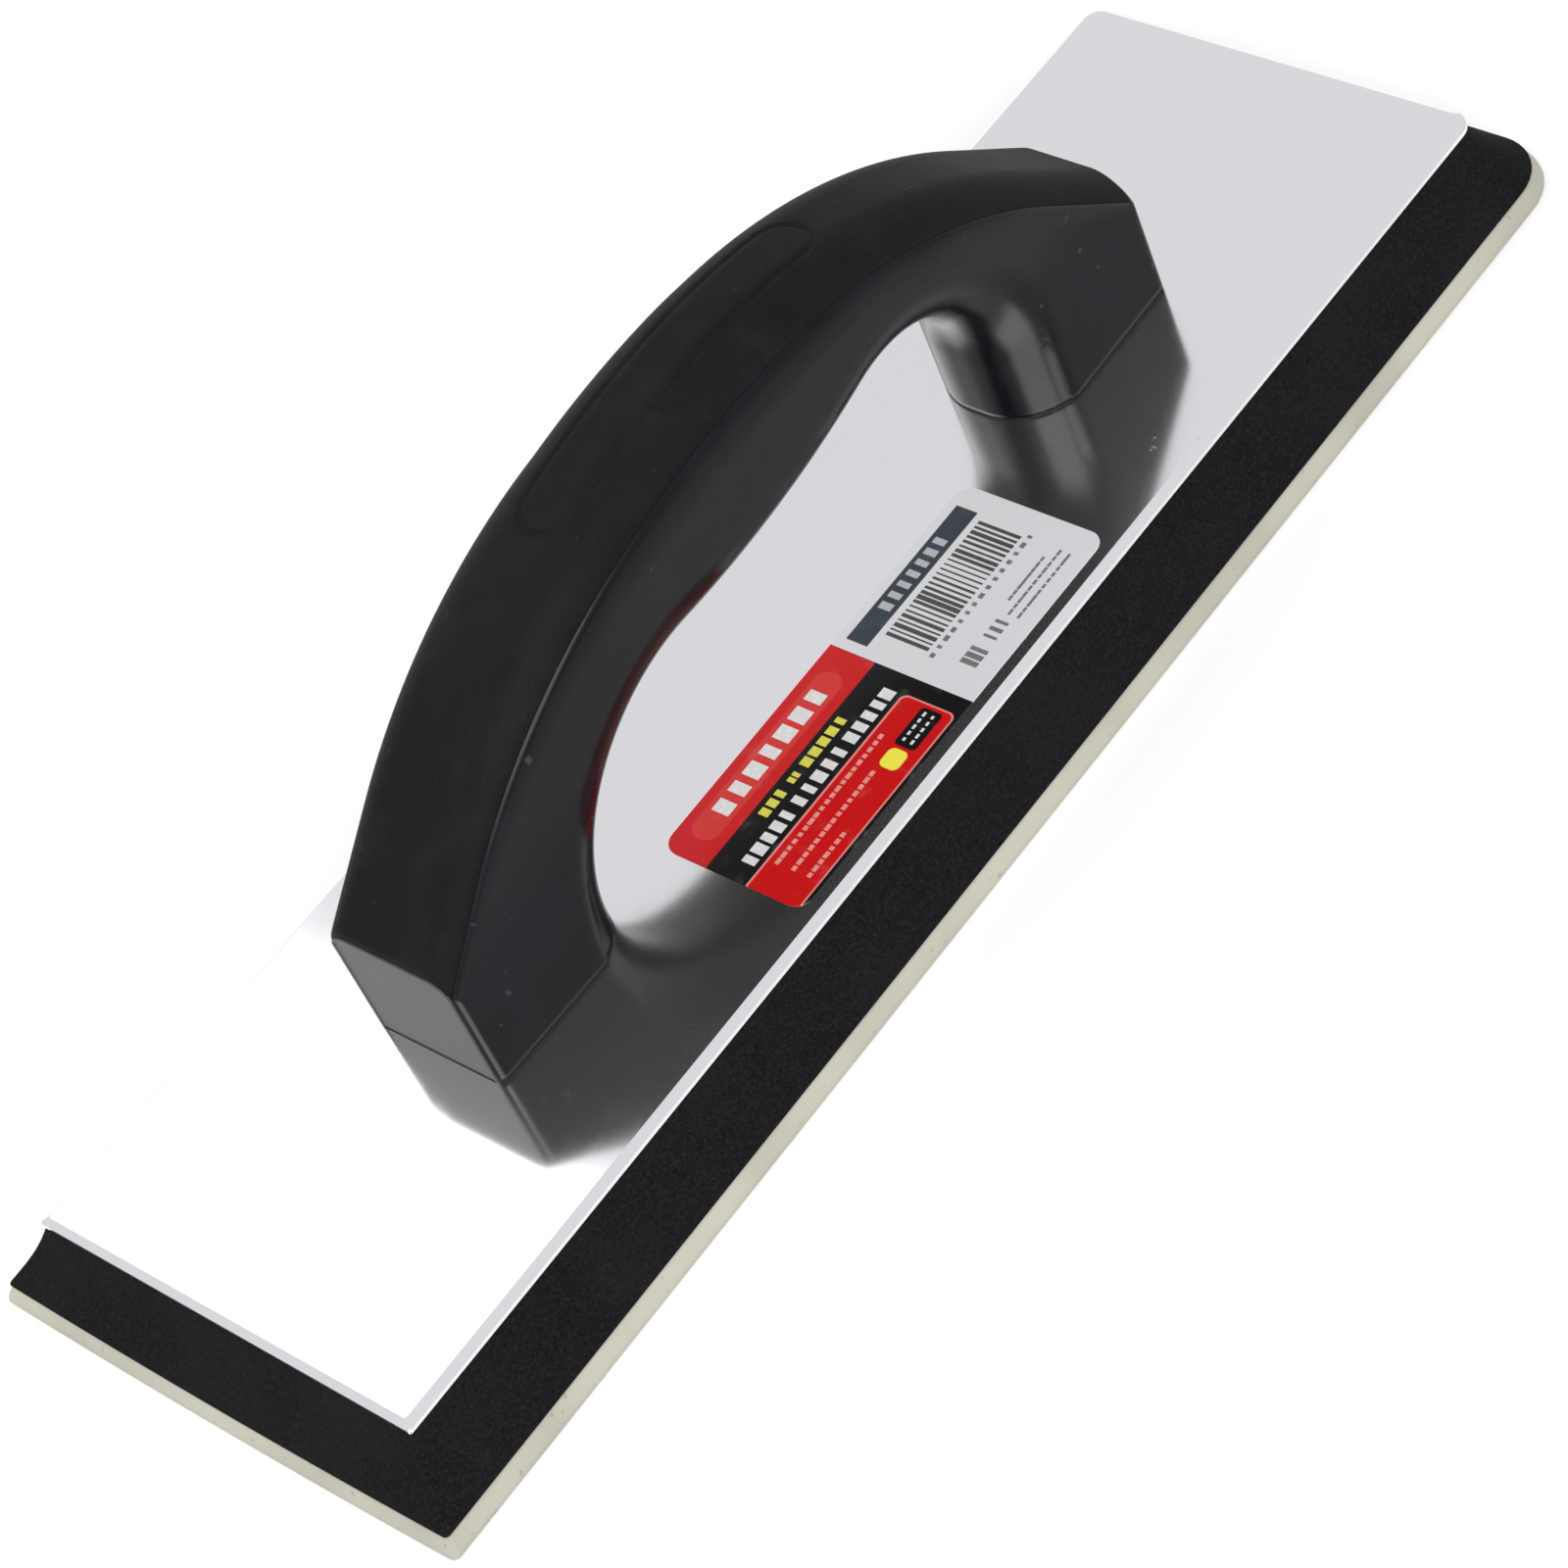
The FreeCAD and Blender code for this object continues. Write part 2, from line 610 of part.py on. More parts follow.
os.makedirs("parts", exist_ok=True)
for node in nodes:
    shape = node.Shape
    if shape.isNull() or not shape.isValid():
        raise RuntimeError(f"{node.Label} has no valid shape")
    shape.exportStep(f"parts/{node.Label}.step")
    box = shape.BoundBox
    print(f"{node.Label:15s} {len(shape.Solids)} solids {shape.Volume:10.0f} mm3 "
          f"{box.XLength:6.1f} x {box.YLength:6.1f} x {box.ZLength:5.1f} from z {box.ZMin:5.1f}")
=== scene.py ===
import json
import math

import bpy
import numpy as np
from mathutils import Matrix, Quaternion, Vector

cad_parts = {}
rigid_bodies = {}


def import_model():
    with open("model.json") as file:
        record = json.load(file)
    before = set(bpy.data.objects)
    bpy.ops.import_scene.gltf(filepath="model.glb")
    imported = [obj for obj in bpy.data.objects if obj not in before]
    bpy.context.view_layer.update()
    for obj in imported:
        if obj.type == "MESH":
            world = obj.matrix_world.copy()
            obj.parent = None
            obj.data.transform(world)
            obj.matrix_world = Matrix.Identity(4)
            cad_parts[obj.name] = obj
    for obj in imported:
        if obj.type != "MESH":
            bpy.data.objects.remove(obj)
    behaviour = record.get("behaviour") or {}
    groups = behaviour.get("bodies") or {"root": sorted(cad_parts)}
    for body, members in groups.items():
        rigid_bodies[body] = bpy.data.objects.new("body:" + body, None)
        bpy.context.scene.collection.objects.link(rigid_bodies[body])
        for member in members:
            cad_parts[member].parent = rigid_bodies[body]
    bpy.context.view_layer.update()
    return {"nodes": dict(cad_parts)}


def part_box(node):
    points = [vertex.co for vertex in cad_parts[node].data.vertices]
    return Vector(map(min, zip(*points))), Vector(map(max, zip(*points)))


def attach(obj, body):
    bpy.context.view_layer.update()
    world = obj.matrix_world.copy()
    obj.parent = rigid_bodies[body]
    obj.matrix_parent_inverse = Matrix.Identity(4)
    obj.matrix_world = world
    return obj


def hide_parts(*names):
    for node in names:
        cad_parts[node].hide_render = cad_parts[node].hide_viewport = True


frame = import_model()
mm = 0.001

# A grout float: cream rubber face, black foam block, polished plate and an arched black handle.
# Everything is in metres round the middle of the rubber's underside: X along the float, Z up.

rubberLow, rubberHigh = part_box("rubber_face")
foamLow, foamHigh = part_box("foam_pad")
plateLow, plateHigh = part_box("backing_plate")
coreLow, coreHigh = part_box("handle_body")
coverLow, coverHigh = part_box("grip_cover")
labelLow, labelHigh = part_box("product_label")
plateTop = plateHigh.z


# camera

cameraView = {
    "place": (-0.302157, -0.461771, 0.573163),
    "turn": (0.812752551, 0.36861189, -0.02067471, -0.4507007),
    "lens": 111.875,
    "sensor": 36.0,
}


def addCamera(view):
    data = bpy.data.cameras.new("studioCamera")
    data.lens = view["lens"]
    data.sensor_width = view["sensor"]
    data.clip_start = 0.05
    data.clip_end = 50.0
    camera = bpy.data.objects.new("studioCamera", data)
    camera.location = view["place"]
    camera.rotation_mode = "QUATERNION"
    camera.rotation_quaternion = Quaternion(view["turn"])
    bpy.context.scene.collection.objects.link(camera)
    bpy.context.scene.camera = camera


addCamera(cameraView)
print("camera placed")


# paint: a node output that can be written in sums, and a finish that holds the nodes

class Wire:
    def __init__(self, finish, socket):
        self.finish = finish
        self.socket = socket

    def sum(self, operation, other=0.0, swap=False):
        first, second = (other, self) if swap else (self, other)
        return self.finish.node("ShaderNodeMath", {"operation": operation}, {0: first, 1: second})

    def __add__(self, other):
        return self.sum("ADD", other)

    def __sub__(self, other):
        return self.sum("SUBTRACT", other)

    def __rsub__(self, other):
        return self.sum("SUBTRACT", other, swap=True)

    def __mul__(self, other):
        return self.sum("MULTIPLY", other)

    __radd__ = __add__
    __rmul__ = __mul__

    def most(self, other):
        return self.sum("MAXIMUM", other)

    def size(self):
        return self.sum("ABSOLUTE")

    def fade(self, low, high):  # 0 below low, 1 above high, smooth between
        return self.finish.node("ShaderNodeMapRange", {"interpolation_type": "SMOOTHSTEP"},
                                {"Value": self, "From Min": low, "From Max": high})


class Finish:
    def __init__(self, name, fixed):
        self.material = bpy.data.materials.new(name)
        self.material.use_nodes = True
        self.tree = self.material.node_tree
        self.tree.nodes.clear()
        self.shader = self.tree.nodes.new("ShaderNodeBsdfPrincipled")
        end = self.tree.nodes.new("ShaderNodeOutputMaterial")
        self.tree.links.new(self.shader.outputs[0], end.inputs["Surface"])
        for socket, value in fixed.items():
            self.feed(socket, value)

    def node(self, kind, settings=None, values=None, output=0):
        made = self.tree.nodes.new(kind)
        for name, value in (settings or {}).items():
            setattr(made, name, value)
        for key, value in (values or {}).items():
            self.join(made.inputs[key], value)
        return Wire(self, made.outputs[output])

    def join(self, socket, value):
        if isinstance(value, Wire):
            self.tree.links.new(value.socket, socket)
        elif socket.type == "RGBA" and len(value) == 3:
            socket.default_value = (*value, 1.0)
        else:
            socket.default_value = value

    def feed(self, socket, value):
        self.join(self.shader.inputs[socket], value)

    def place(self, stretch=(1.0, 1.0, 1.0), shift=(0.0, 0.0, 0.0)):
        where = self.node("ShaderNodeTexCoord", output="Object")
        return self.node("ShaderNodeMapping", None, {"Vector": where, "Scale": stretch, "Location": shift})

    def axes(self, where):
        split = self.node("ShaderNodeSeparateXYZ", None, {0: where})
        return [Wire(self, out) for out in split.socket.node.outputs]

    def noise(self, where, scale, detail=2.0, rough=0.5):
        return self.node("ShaderNodeTexNoise", None,
                         {"Vector": where, "Scale": scale, "Detail": detail, "Roughness": rough})

    def cells(self, where, scale):
        return self.node("ShaderNodeTexVoronoi", None, {"Vector": where, "Scale": scale})

    def mix(self, mask, first, second):  # first where the mask is 0, second where it is 1
        blend = self.node("ShaderNodeMix", {"data_type": "RGBA"}, {0: mask, 6: first, 7: second})
        return Wire(self, blend.socket.node.outputs[2])

    def bump(self, height, strength, distance):
        return self.node("ShaderNodeBump", None,
                         {"Height": height, "Strength": strength, "Distance": distance})


def creamRubber():
    look = {"body": (0.470, 0.450, 0.385), "dusty": (0.365, 0.348, 0.295), "speck": (0.230, 0.212, 0.175),
            "grain": 900.0, "cloud": 28.0}
    finish = Finish("creamRubber", {"IOR": 1.5, "Specular IOR Level": 0.4})
    where = finish.place()
    grain = finish.noise(where, look["grain"], 4.0, 0.6)
    cloud = finish.noise(where, look["cloud"], 3.0)
    specks = finish.noise(where, look["grain"] * 0.7, 1.0).fade(0.70, 0.76)
    colour = finish.mix(cloud.fade(0.35, 0.75), look["body"], look["dusty"])
    finish.feed("Base Color", finish.mix(specks * 0.5, colour, look["speck"]))
    finish.feed("Roughness", 0.56 + grain * 0.28)
    pores = finish.cells(where, look["grain"] * 0.6).fade(0.0, 0.35)
    finish.feed("Normal", finish.bump(grain * 0.6 + pores * 0.4, 0.5, 0.00012))
    return finish.material


def blackFoam():
    look = {"body": (0.0058, 0.0058, 0.0068), "raised": (0.0145, 0.0145, 0.0168),
            "poreShade": (0.0025, 0.0025, 0.003), "cell": 1150.0, "cloud": 60.0}
    finish = Finish("blackFoam", {"IOR": 1.45, "Specular IOR Level": 0.08})
    where = finish.place()
    cells = finish.cells(where, look["cell"])
    fine = finish.noise(where, look["cell"] * 1.6, 3.0, 0.65)
    cloud = finish.noise(where, look["cloud"], 2.0)
    pits = cells.fade(0.05, 0.42)
    colour = finish.mix(fine.fade(0.42, 0.72), look["body"], look["raised"])
    # painted shade: the foam's pores are darkened towards the pore shade colour exactly where the bump sinks
    # them
    colour = finish.mix((1.0 - pits) * 0.8, colour, look["poreShade"])
    finish.feed("Base Color", finish.mix(cloud.fade(0.3, 0.8) * 0.35, colour, look["raised"]))
    finish.feed("Roughness", 0.72 + fine * 0.25)
    finish.feed("Normal", finish.bump(pits * 0.7 + fine * 0.5, 0.8, 0.00022))
    return finish.material


def polishedPlate():
    look = {"body": (0.88, 0.88, 0.895), "dull": (0.78, 0.79, 0.81), "streak": (9.0, 700.0, 700.0)}
    finish = Finish("polishedPlate", {"Metallic": 0.975})
    streaks = finish.noise(finish.place(look["streak"]), 1.0, 2.0, 0.5)
    where = finish.place()
    cloud = finish.noise(where, 14.0, 3.0)
    smears = finish.noise(where, 55.0, 4.0, 0.7).fade(0.5, 0.8)
    scuffs = finish.noise(where, 480.0, 2.0, 0.7).fade(0.71, 0.76) * cloud.fade(0.45, 0.6)
    colour = finish.mix(streaks.fade(0.45, 0.8) * 0.10 + smears * 0.12, look["body"], look["dull"])
    finish.feed("Base Color", colour)
    finish.feed("Roughness", 0.085 + streaks * 0.02 + smears * 0.03 + cloud * 0.03 + scuffs * 0.15)
    finish.feed("Normal", finish.bump(cloud, 0.10, 0.0009))
    return finish.material


def softGrip():
    look = {"body": (0.0042, 0.0040, 0.0050), "worn": (0.0085, 0.0082, 0.0098), "dust": (0.040, 0.038, 0.042),
            "grain": 1500.0}
    finish = Finish("softGrip", {"IOR": 1.48, "Specular IOR Level": 0.13})
    where = finish.place()
    grain = finish.noise(where, look["grain"], 2.0, 0.6)
    cloud = finish.noise(where, 95.0, 4.0, 0.65)
    dust = finish.noise(where, 620.0, 2.0, 0.7).fade(0.66, 0.78)
    colour = finish.mix(cloud.fade(0.4, 0.75), look["body"], look["worn"])
    finish.feed("Base Color", finish.mix(dust * cloud * 0.5, colour, look["dust"]))
    finish.feed("Roughness", 0.46 + cloud * 0.18 + grain * 0.10)
    finish.feed("Normal", finish.bump(grain, 0.55, 0.00022))
    return finish.material


def glossyCore():
    look = {"body": (0.0018, 0.0026, 0.0036), "pale": (0.0044, 0.0058, 0.0076), "dust": (0.06, 0.06, 0.064)}
    finish = Finish("glossyCore", {"IOR": 1.5, "Specular IOR Level": 0.19})
    where = finish.place()
    cloud = finish.noise(where, 60.0, 4.0, 0.6)
    fine = finish.noise(where, 700.0, 2.0)
    dust = finish.noise(where, 420.0, 1.0, 0.7).fade(0.72, 0.80)
    colour = finish.mix(cloud.fade(0.35, 0.75), look["body"], look["pale"])
    finish.feed("Base Color", finish.mix(dust * 0.5, colour, look["dust"]))
    finish.feed("Roughness", 0.17 + cloud * 0.14 + dust * 0.2)
    finish.feed("Normal", finish.bump(fine * 0.3 + cloud, 0.10, 0.0004))
    return finish.material


def satinPanel():
    look = {"body": (0.048, 0.048, 0.051), "pale": (0.068, 0.068, 0.072)}
    finish = Finish("satinPanel", {"IOR": 1.5, "Specular IOR Level": 0.20})
    where = finish.place()
    cloud = finish.noise(where, 160.0, 3.0)
    fine = finish.noise(where, 1400.0, 2.0)
    finish.feed("Base Color", finish.mix(cloud.fade(0.35, 0.7), look["body"], look["pale"]))
    finish.feed("Roughness", 0.34 + cloud * 0.12)
    finish.feed("Normal", finish.bump(fine, 0.10, 0.0001))
    return finish.material


def zincSteel():
    finish = Finish("zincSteel", {"Metallic": 1.0})
    where = finish.place()
    cloud = finish.noise(where, 900.0, 3.0)
    finish.feed("Base Color", finish.mix(cloud, (0.62, 0.62, 0.60), (0.50, 0.50, 0.52)))
    finish.feed("Roughness", 0.26 + cloud * 0.14)
    finish.feed("Normal", finish.bump(cloud, 0.15, 0.0001))
    return finish.material


print("finishes ready")


# mesh helpers

def addPiece(name, points, faces, finish, cadNodes, sharp=40.0):
    mesh = bpy.data.meshes.new(name)
    mesh.from_pydata([tuple(p) for p in points], [], faces)
    mesh.validate()
    mesh.update()
    mesh.shade_smooth()
    mesh.set_sharp_from_angle(angle=math.radians(sharp))
    mesh.materials.append(finish)
    piece = bpy.data.objects.new(name, mesh)
    bpy.context.scene.collection.objects.link(piece)
    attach(piece, "root")
    if cadNodes:
        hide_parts(*cadNodes)
    return piece


def stackLoops(loops):  # closed skin over loops of equal length, the first and the last filled
    count = len(loops[0])
    points = np.concatenate(loops)
    faces = [tuple(range(count))[::-1]]
    for row in range(len(loops) - 1):
        low, high = row * count, (row + 1) * count
        for i in range(count):
            j = (i + 1) % count
            faces.append((low + i, low + j, high + j, high + i))
    faces.append(tuple(range((len(loops) - 1) * count, len(loops) * count)))
    return points, faces


def slabLoop(halfLong, halfWide, nearBend, farBend, bow, height):
    # anticlockwise from above: square-ish corners at -X, rounder ones at +X, ends slightly bowed
    corners = (((halfLong - farBend, farBend - halfWide), farBend, -90),
               ((halfLong - farBend, halfWide - farBend), farBend, 0),
               ((nearBend - halfLong, halfWide - nearBend), nearBend, 90),
               ((nearBend - halfLong, nearBend - halfWide), nearBend, 180))
    turns, sides = 10, (24, 60, 24, 60)
    outline = []
    for index, ((x, y), bend, first) in enumerate(corners):
        for step in range(turns + 1):
            angle = math.radians(first + 90 * step / turns)
            outline.append((x + bend * math.cos(angle), y + bend * math.sin(angle)))
        (nextX, nextY), nextBend, nextFirst = corners[(index + 1) % 4]
        turn = math.radians(nextFirst)
        target = (nextX + nextBend * math.cos(turn), nextY + nextBend * math.sin(turn))
        startX, startY = outline[-1]
        for step in range(1, sides[index]):
            share = step / sides[index]
            outline.append((startX + (target[0] - startX) * share, startY + (target[1] - startY) * share))
    flat = np.array(outline)
    flat[:, 0] -= np.sign(flat[:, 0]) * bow * (flat[:, 1] / halfWide) ** 2
    return np.column_stack([flat, np.full(len(flat), height)])


# rubber face

rubberShape = {"edgeRound": 0.5 * mm, "nearCorner": 1.2 * mm, "farCorner": 11.0 * mm, "endBow": 0.5 * mm}


def rubberLoops(shape):
    halfLong, halfWide = rubberHigh.x, rubberHigh.y
    inset = rubberHigh.x - foamHigh.x
    soft = shape["edgeRound"]
    loops = []
    steps = [(soft, 0.0), (soft * 0.3, soft * 0.3), (0.0, soft)]
    for share in (0.25, 0.5, 0.75):
        steps.append((inset * share ** 1.4, soft + (rubberHigh.z - 1.6 * soft) * share))
    steps += [(inset, rubberHigh.z - soft * 0.3), (inset + soft * 0.6, rubberHigh.z)]
    for draw, height in steps:
        loops.append(slabLoop(halfLong - draw, halfWide - draw, shape["nearCorner"],
                              shape["farCorner"] - draw, shape["endBow"], height))
    return loops


points, faces = stackLoops(rubberLoops(rubberShape))
rubberSheet = addPiece("rubberSheet", points, faces, creamRubber(), ["rubber_face"])
print("rubber face made")


# foam block

foamShape = {"hollow": 0.7 * mm, "edgeRound": 0.5 * mm, "nearCorner": 0.8 * mm, "farLow": 10.0 * mm,
             "farHigh": 5.0 * mm, "endBow": 0.5 * mm, "rows": 12}


def foamLoops(shape):
    lowLong, lowWide = foamHigh.x, foamHigh.y
    flare = foamHigh.x - plateHigh.x
    soft = shape["edgeRound"]
    tall = foamHigh.z - foamLow.z
    steps = [(soft, 0.0), (soft * 0.25, soft * 0.35)]
    for row in range(shape["rows"] + 1):
        share = row / shape["rows"]
        draw = flare * share + shape["hollow"] * math.sin(math.pi * share)
        steps.append((draw, soft + (tall - 1.6 * soft) * share))
    steps.append((flare + soft * 0.6, tall))
    loops = []
    for draw, height in steps:
        share = height / tall
        bend = shape["farLow"] + (shape["farHigh"] - shape["farLow"]) * share
        loops.append(slabLoop(lowLong - draw, lowWide - draw, shape["nearCorner"], bend, shape["endBow"],
                              foamLow.z + height))
    return loops


points, faces = stackLoops(foamLoops(foamShape))
foamBlock = addPiece("foamBlock", points, faces, blackFoam(), ["foam_pad"], sharp=50.0)
print("foam block made")


# polished plate

plateShape = {"bevelWide": 1.5 * mm, "bevelDeep": 0.9 * mm, "nearCorner": 0.5 * mm, "farCorner": 4.0 * mm}


def plateLoops(shape):
    steps = [(0.2 * mm, plateLow.z), (0.0, plateLow.z + 0.15 * mm), (0.0, plateTop - shape["bevelDeep"]),
             (0.12 * mm, plateTop - shape["bevelDeep"] * 0.84),
             (shape["bevelWide"] - 0.2 * mm, plateTop - 0.06 * mm), (shape["bevelWide"], plateTop)]
    return [slabLoop(plateHigh.x - draw, plateHigh.y - draw, shape["nearCorner"],
                     max(shape["farCorner"] - draw, 1.5 * mm), 0.0, height) for draw, height in steps]


points, faces = stackLoops(plateLoops(plateShape))
plateSheet = addPiece("plateSheet", points, faces, polishedPlate(), ["backing_plate"],
                      sharp=10.0)
print("plate made")


# arched handle, worked out on half planes that turn about the middle of the plate's top

handleShape = {
    "reach": (-coreLow.x, coreHigh.x),
    "height": coverHigh.z - plateTop,
    "crownMiddle": 2.8 * mm,
    "crownBend": 160.0 * mm,
    "haunchBend": 103.0 * mm,
    "endSlope": 42.1,
    "shoulder": (25.2 * mm, 25.1 * mm),
    "parting": (21.5 * mm, 19.5 * mm),
    "coverDepth": 5.8 * mm,
    "coverLeast": 0.12 * mm,
    "leg": (53.8 * mm, 54.5 * mm),
    "legCorner": (31.0 * mm, 21.8 * mm),
    "bellyShift": 12.3 * mm,
    "bellyHeight": 31.1 * mm,
    "bellyBend": 163.0 * mm,
    "footWidth": 27.2 * mm,
    "crownRound": 11.9 * mm,
    "shoulderRound": (5.0 * mm, 7.6 * mm),
    "innerRound": 12.4 * mm,
    "endRound": 1.2 * mm,
    "panelBack": 0.30 * mm,      # end faces stand back from the end panels
    "lipSoft": 0.7 * mm,
    "rimStart": 8.5 * mm,        # crisp rim where the round inside of each leg meets its side
    "rimDeep": 0.7 * mm,
    "rimHigh": 24.0 * mm,
    "footSoft": 0.35 * mm,
    "grooveDeep": 0.36 * mm,
    "grooveWide": 1.20 * mm,
    "trackMiddle": 2.0 * mm,     # shallow oval line pressed into the top of the grip
    "trackHalf": 34.0 * mm,
    "trackWide": 5.0 * mm,
    "trackDeep": 0.42 * mm,
    "trackLine": 0.50 * mm,
}
panelShape = {"side": 0.95 * mm, "top": 0.75 * mm, "rim": 0.5 * mm, "sunk": 1.2 * mm}


def archOutline(shape, depth, tips):
    # points and outward normals of slant, haunch, crown, haunch and slant, from +X to -X
    slope = math.radians(shape["endSlope"])
    crown = np.array([shape["crownMiddle"], shape["height"] - shape["crownBend"]])
    gap = shape["crownBend"] - shape["haunchBend"]
    radius = shape["haunchBend"] - depth
    halves = []
    for side, end in ((1, 1), (-1, 0)):
        out = np.array([side * math.sin(slope), math.cos(slope)])
        shoulder = np.array([side * shape["reach"][end], tips[end]])
        turn = slope - math.acos((-radius - (crown - shoulder) @ out) / gap)
        middle = crown + gap * np.array([side * math.sin(turn), math.cos(turn)])
        angles = np.concatenate([np.linspace(0, turn, 30)[:-1], np.linspace(turn, slope, 160)])
        normals = np.column_stack([side * np.sin(angles), np.cos(angles)])
        bend = np.where(angles < turn, shape["crownBend"] - depth, radius)
        centres = np.where((angles < turn)[:, None], crown, middle)
        curve = centres + normals * bend[:, None]
        down = np.array([side * math.cos(slope), -math.sin(slope)])
        runs = np.linspace(0, 90 * mm, 60)[1:, None]
        halves.append((np.concatenate([curve, curve[-1] + down * runs]),
                       np.concatenate([normals, np.tile(out, (59, 1))])))
    (rightPoints, rightNormals), (leftPoints, leftNormals) = halves
    return (np.concatenate([rightPoints[::-1], leftPoints[1:]]),
            np.concatenate([rightNormals[::-1], leftNormals[1:]]))


def openingOutline(shape):
    # points of the hand opening from +X to -X, with normals that point into the handle
    bellyX = -shape["bellyShift"]
    bellyZ = shape["bellyHeight"] + shape["bellyBend"]
    points, normals, leans = [], [], []
    for side, end in ((1, 1), (-1, 0)):
        leg, bend = shape["leg"][end], shape["legCorner"][end]
        x = side * (leg - bend)
        z = bellyZ - math.sqrt((bend + shape["bellyBend"]) ** 2 - (x - bellyX) ** 2)
        leans.append((leg, bend, x, z, math.atan2(bellyZ - z, abs(x - bellyX))))
    leg, bend, x, z, lean = leans[0]
    for height in np.linspace(-30 * mm, z, 50)[:-1]:
        points.append((leg, height))
        normals.append((1.0, 0.0))
    for angle in np.linspace(0, math.pi - lean, 120):
        points.append((x + bend * math.cos(angle), z + bend * math.sin(angle)))
        normals.append((math.cos(angle), math.sin(angle)))
    leftLean = leans[1][4]
    for angle in np.linspace(2 * math.pi - lean, math.pi + leftLean, 80)[1:-1]:
        points.append((bellyX + shape["bellyBend"] * math.cos(angle),
                       bellyZ + shape["bellyBend"] * math.sin(angle)))
        normals.append((-math.cos(angle), -math.sin(angle)))
    leg, bend, x, z, lean = leans[1]
    for angle in np.linspace(lean, math.pi, 120):
        points.append((x + bend * math.cos(angle), z + bend * math.sin(angle)))
        normals.append((math.cos(angle), math.sin(angle)))
    for height in np.linspace(z, -30 * mm, 50)[1:]:
        points.append((-leg, height))
        normals.append((-1.0, 0.0))
    return np.array(points), np.array(normals)


class RayTable:
    # distance from the pivot to an outline drawn in by any depth, for every half plane
    def __init__(self, outline, turns, sign):
        points, normals = outline
        self.depths = np.linspace(0, 14 * mm, 57)
        rows = []
        for depth in self.depths:
            moved = points + sign * depth * normals
            angles = np.arctan2(moved[:, 1], moved[:, 0])
            order = np.argsort(angles)
            rows.append(np.interp(turns, angles[order], np.hypot(moved[:, 0], moved[:, 1])[order]))
        self.rows = np.array(rows)

    def reach(self, column, depths):
        return np.interp(depths, self.depths, self.rows[:, column])


def handleTurns(fine):
    # half planes, closer together across the end panels and shoulders
    steps = [[0, 0.22], np.arange(1, 10, 1.0), np.arange(10, 24, fine / 2), np.arange(24, 156, fine),
             np.arange(156, 170, fine / 2), np.arange(170, 179.5, 1.0), [179.78, 180]]
    return np.radians(np.concatenate(steps))


def halfWidth(shape, x):
    halfLong = (shape["reach"][0] + shape["reach"][1]) / 2
    middle = shape["reach"][1] - halfLong
    grip, foot = coreHigh.y, shape["footWidth"] / 2
    radius = (halfLong ** 2 + (grip - foot) ** 2) / (2 * (grip - foot))
    return grip - radius + np.sqrt(radius ** 2 - (x - middle) ** 2)


def ramp(value, low, high, first, last):
    return first + (last - first) * min(max((value - low) / (high - low), 0.0), 1.0)


def endFace(shape, turn, across, wide):
    # distance to the upright end face, rounded along its two sides
    limit = shape["reach"][1] if turn < math.pi / 2 else shape["reach"][0]
    lean = abs(math.cos(turn))
    if lean < 0.5:  # a steep half plane never meets an end face
        return np.full(len(across), 1.0)
    corner = shape["endRound"]
    beyond = np.clip(across - (wide - corner), 0, corner)
    fall = corner - np.sqrt(corner ** 2 - beyond ** 2)
    return (limit - shape["panelBack"] - fall) / lean


def softLeast(first, second, width):
    gap = np.clip(0.5 + 0.5 * (second - first) / width, 0, 1)
    return second + (first - second) * gap - width * gap * (1 - gap)


def sectionHalf(shape, outer, inner, column, turn):
    # from the middle of the inside to the middle of the top: distance from the pivot and across
    side = 1 if turn < math.pi / 2 else -1
    limit = shape["reach"][1] if side > 0 else shape["reach"][0]
    lean = abs(math.cos(turn))
    within = inner.reach(column, np.zeros(1))[0]
    outX = min(outer.reach(column, np.zeros(1))[0] * lean, limit)
    wide = halfWidth(shape, outX * side)
    innerWide = halfWidth(shape, within * lean * side)
    outRound = ramp(outX, 20 * mm, limit, shape["crownRound"], shape["shoulderRound"][(side + 1) // 2])
    inRound = shape["innerRound"]
    bends = np.linspace(0, math.pi / 2, 40)
    inFlat = np.linspace(0, innerWide - inRound, 8)[:-1]
    inCurve = innerWide - inRound + inRound * np.sin(bends)
    inDepth = inRound * (1 - np.cos(bends))
    # low on the legs the round inside stops short in a crisp rim
    rim = ramp(within * math.sin(turn), shape["rimHigh"] * 0.4, shape["rimHigh"], 1.0, 0.0)
    start = shape["rimStart"]
    ledge = inRound * (1 - math.sqrt(1 - (1 - start / inRound) ** 2))
    bent = np.clip((inDepth - start) / (inRound - start), 0, 1) * math.pi / 2
    past = inDepth > start
    rimDepth = start + shape["rimDeep"] * (1 - np.cos(bent))
    rimCurve = innerWide - ledge * (1 - np.sin(bent))
    inDepth = np.where(past, inDepth + (rimDepth - inDepth) * rim, inDepth)
    inCurve = np.where(past, inCurve + (rimCurve - inCurve) * rim, inCurve)
    inReach = inner.reach(column, np.concatenate([np.zeros(7), inDepth]))
    outCurve = (wide - outRound + outRound * np.sin(bends))[::-1]
    outDepth = (outRound * (1 - np.cos(bends)))[::-1]
    outFlat = np.linspace(wide - outRound, 0, 60)[1:]
    across = np.concatenate([outCurve, outFlat])
    outReach = outer.reach(column, np.concatenate([outDepth, np.zeros(59)]))
    outReach = softLeast(outReach, endFace(shape, turn, across, wide), shape["lipSoft"])
    sideShare = np.linspace(0, 1, 30)[1:-1]
    sideReach = inReach[-1] + (outReach[0] - inReach[-1]) * sideShare
    sideAcross = innerWide + (wide - innerWide) * sideShare
    return (np.concatenate([inReach, sideReach, outReach]),
            np.concatenate([inFlat, inCurve, sideAcross, across]), len(inReach) + len(sideShare))


